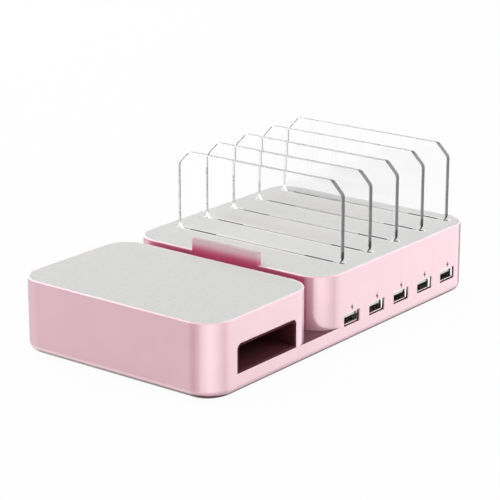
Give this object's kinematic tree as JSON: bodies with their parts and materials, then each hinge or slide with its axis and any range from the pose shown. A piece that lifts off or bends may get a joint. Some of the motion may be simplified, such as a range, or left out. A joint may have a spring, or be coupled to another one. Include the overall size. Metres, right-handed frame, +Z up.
{
  "type": "charging station organizer",
  "caption": "Low desk organizer: storage box with side opening, phone slot with rest, and charging block with side sockets and clear lift-out dividers.",
  "frame": {"origin": "centre of the footprint, on the plane the feet stand on", "axes": "+X towards the side with the sockets and the storage mouth, -Y towards the storage box, +Z up"},
  "size_m": [0.13, 0.2314, 0.0844],
  "materials": {
    "rose_shell": "satin rose metallic paint on moulded ABS",
    "rose_cover": "fine spark texture, moulded in colour",
    "pad": "fine grained soft-touch sheet",
    "wine_liner": "moulded, matt",
    "clear_acrylic": "clear cast acrylic with polished edges",
    "socket_steel": "nickel plated sheet",
    "black_plastic": "moulded, satin",
    "white_plastic": "moulded, satin",
    "gold_contact": "gold plated",
    "board": "solder mask over glass laminate",
    "plated_pins": "nickel plated",
    "yellow_case": "moulded case and polyester tape",
    "copper_winding": "enamelled copper wire",
    "blue_sleeve": "shrink sleeve",
    "heatsink": "extruded, plain",
    "ferrite": "sintered ferrite",
    "screw_steel": "zinc plated",
    "foot_rubber": "moulded"
  },
  "bodies": {
    "station": {"housing": "rose_shell", "bottom_cover": "rose_cover", "front_top_pad": "pad", "rear_top_pad": "pad", "storage_liner": "wine_liner", "phone_rest": "rose_shell", "usb_shell_1": "socket_steel", "usb_shell_2": "socket_steel", "usb_shell_3": "socket_steel", "usb_shell_4": "socket_steel", "usb_shell_5": "socket_steel", "usb_insulator_1": "white_plastic", "usb_insulator_2": "white_plastic", "usb_insulator_3": "white_plastic", "usb_insulator_4": "white_plastic", "usb_insulator_5": "white_plastic", "usb_contacts_1": "gold_contact", "usb_contacts_2": "gold_contact", "usb_contacts_3": "gold_contact", "usb_contacts_4": "gold_contact", "usb_contacts_5": "gold_contact", "main_board": "board", "mains_inlet": "black_plastic", "inlet_pins": "plated_pins", "fuse": "black_plastic", "x_capacitor": "yellow_case", "emi_choke": "copper_winding", "bridge_rectifier": "black_plastic", "bulk_capacitor": "blue_sleeve", "primary_heatsink": "heatsink", "transformer_core": "ferrite", "transformer_coil": "yellow_case", "secondary_heatsink": "heatsink", "output_capacitors": "blue_sleeve", "output_inductor": "copper_winding", "port_controllers": "black_plastic", "foot_1": "foot_rubber", "foot_2": "foot_rubber", "foot_3": "foot_rubber", "foot_4": "foot_rubber", "cover_screws": "screw_steel", "board_screws": "screw_steel", "liner_screws": "screw_steel"},
    "divider_1_plate": {"divider_1": "clear_acrylic"},
    "divider_2_plate": {"divider_2": "clear_acrylic"},
    "divider_3_plate": {"divider_3": "clear_acrylic"},
    "divider_4_plate": {"divider_4": "clear_acrylic"},
    "divider_5_plate": {"divider_5": "clear_acrylic"}
  },
  "joints": [
    {"name": "divider_1_lift", "type": "slide", "parent": "station", "child": "divider_1_plate", "axis": [0, 0, 1], "range_m": [0, 0.02]},
    {"name": "divider_2_lift", "type": "slide", "parent": "station", "child": "divider_2_plate", "axis": [0, 0, 1], "range_m": [0, 0.02]},
    {"name": "divider_3_lift", "type": "slide", "parent": "station", "child": "divider_3_plate", "axis": [0, 0, 1], "range_m": [0, 0.02]},
    {"name": "divider_4_lift", "type": "slide", "parent": "station", "child": "divider_4_plate", "axis": [0, 0, 1], "range_m": [0, 0.02]},
    {"name": "divider_5_lift", "type": "slide", "parent": "station", "child": "divider_5_plate", "axis": [0, 0, 1], "range_m": [0, 0.02]}
  ]
}
